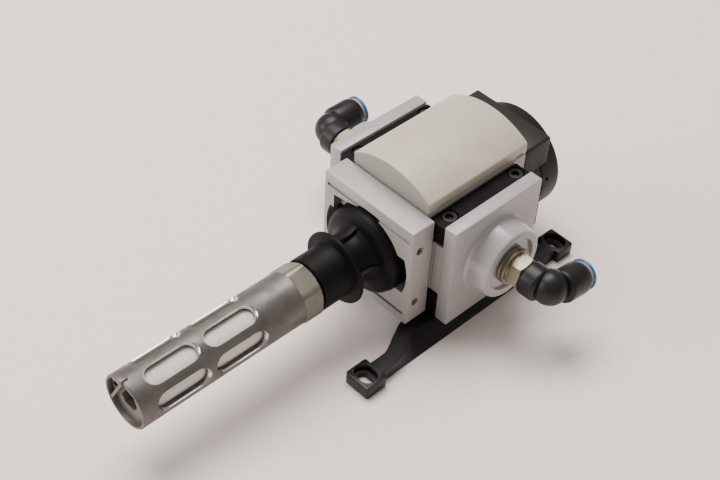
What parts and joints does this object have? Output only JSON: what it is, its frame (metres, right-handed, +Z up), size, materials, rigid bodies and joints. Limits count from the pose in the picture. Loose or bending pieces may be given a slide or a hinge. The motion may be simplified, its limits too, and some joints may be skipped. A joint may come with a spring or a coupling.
{
  "type": "manual rotary on/off valve",
  "caption": "Manual rotary on/off valve module for compressed air on mounting brackets, with side plates, push-in elbow fittings, an exhaust adapter and a slotted silencer.",
  "frame": {"origin": "centre of the footprint, on the surface the brackets stand on", "axes": "+Y along the valve's axis from the silencer's tip towards the rotary knob, +X from port to port, +Z up through the cover"},
  "size_m": [0.1818, 0.2682, 0.0884],
  "materials": {
    "light_aluminium": "satin, bead blasted",
    "cover_plastic": "satin",
    "black_plastic": "satin",
    "black_metal": "black coated, low gloss",
    "cast_aluminium": "raw casting with polished edges",
    "porous_plastic": "sintered, matt",
    "nickel_brass": "nickel plated, turned",
    "blue_plastic": "semi-gloss",
    "steel": "zinc plated",
    "dark_steel": "oxidised",
    "rubber": "matt",
    "brass": "turned"
  },
  "bodies": {
    "valve": {"valve_body": "light_aluminium", "front_block": "light_aluminium", "front_cover": "cover_plastic", "knob_housing": "black_plastic", "exhaust_adapter": "black_plastic", "detent_ball": "steel", "detent_spring": "steel", "spindle_seal": "rubber", "sleeve_seal_1": "rubber", "sleeve_seal_2": "rubber", "valve_sleeve": "brass", "silencer_body": "cast_aluminium", "silencer_insert": "porous_plastic", "connecting_plate_right": "light_aluminium", "plate_seal_right": "rubber", "clamp_bar_upper_right": "black_metal", "side_pin_upper_right": "dark_steel", "clamp_bar_lower_right": "black_metal", "side_pin_lower_right": "dark_steel", "bar_screw_front_right": "steel", "bar_screw_rear_right": "steel", "mounting_bracket_right": "black_metal", "fitting_body_right": "nickel_brass", "fitting_seal_right": "rubber", "connecting_plate_left": "light_aluminium", "plate_seal_left": "rubber", "clamp_bar_upper_left": "black_metal", "side_pin_upper_left": "dark_steel", "clamp_bar_lower_left": "black_metal", "side_pin_lower_left": "dark_steel", "bar_screw_front_left": "steel", "bar_screw_rear_left": "steel", "mounting_bracket_left": "black_metal", "fitting_body_left": "nickel_brass", "fitting_seal_left": "rubber"},
    "knob": {"rotary_knob": "black_plastic", "knob_screw": "steel", "spindle": "steel", "drive_pin": "steel"},
    "spool": {"spool": "light_aluminium", "spool_seal_1": "rubber", "spool_seal_2": "rubber"},
    "elbow_right": {"elbow_body_right": "black_plastic", "tube_seal_right": "rubber", "collet_right": "steel"},
    "release_right": {"release_ring_right": "blue_plastic"},
    "elbow_left": {"elbow_body_left": "black_plastic", "tube_seal_left": "rubber", "collet_left": "steel"},
    "release_left": {"release_ring_left": "blue_plastic"}
  },
  "joints": [
    {"name": "knob_turn", "type": "hinge", "parent": "valve", "child": "knob", "pos_m": [0, 0.1203, 0.0424], "axis": [0, 1, 0], "range_deg": [0, 90]},
    {"name": "spool_slide", "type": "slide", "parent": "valve", "child": "spool", "axis": [0, 1, 0], "range_m": [0, 0.0051]},
    {"name": "elbow_right_swivel", "type": "hinge", "parent": "valve", "child": "elbow_right", "pos_m": [0.07, 0.0622, 0.0424], "axis": [1, 0, 0], "continuous": true},
    {"name": "release_right_push", "type": "slide", "parent": "elbow_right", "child": "release_right", "axis": [0, -0.9866, 0.1633], "range_m": [0, 0.0012], "stiffness_N_per_m": 300, "springref_m": -0.002},
    {"name": "elbow_left_swivel", "type": "hinge", "parent": "valve", "child": "elbow_left", "pos_m": [-0.07, 0.0622, 0.0424], "axis": [1, 0, 0], "continuous": true},
    {"name": "release_left_push", "type": "slide", "parent": "elbow_left", "child": "release_left", "axis": [0, -1, 0], "range_m": [0, 0.0012], "stiffness_N_per_m": 300, "springref_m": -0.002}
  ],
  "couplings": [
    {"joint": "spool_slide", "follows": "knob_turn", "m_per_rad": 0.0031831}
  ]
}
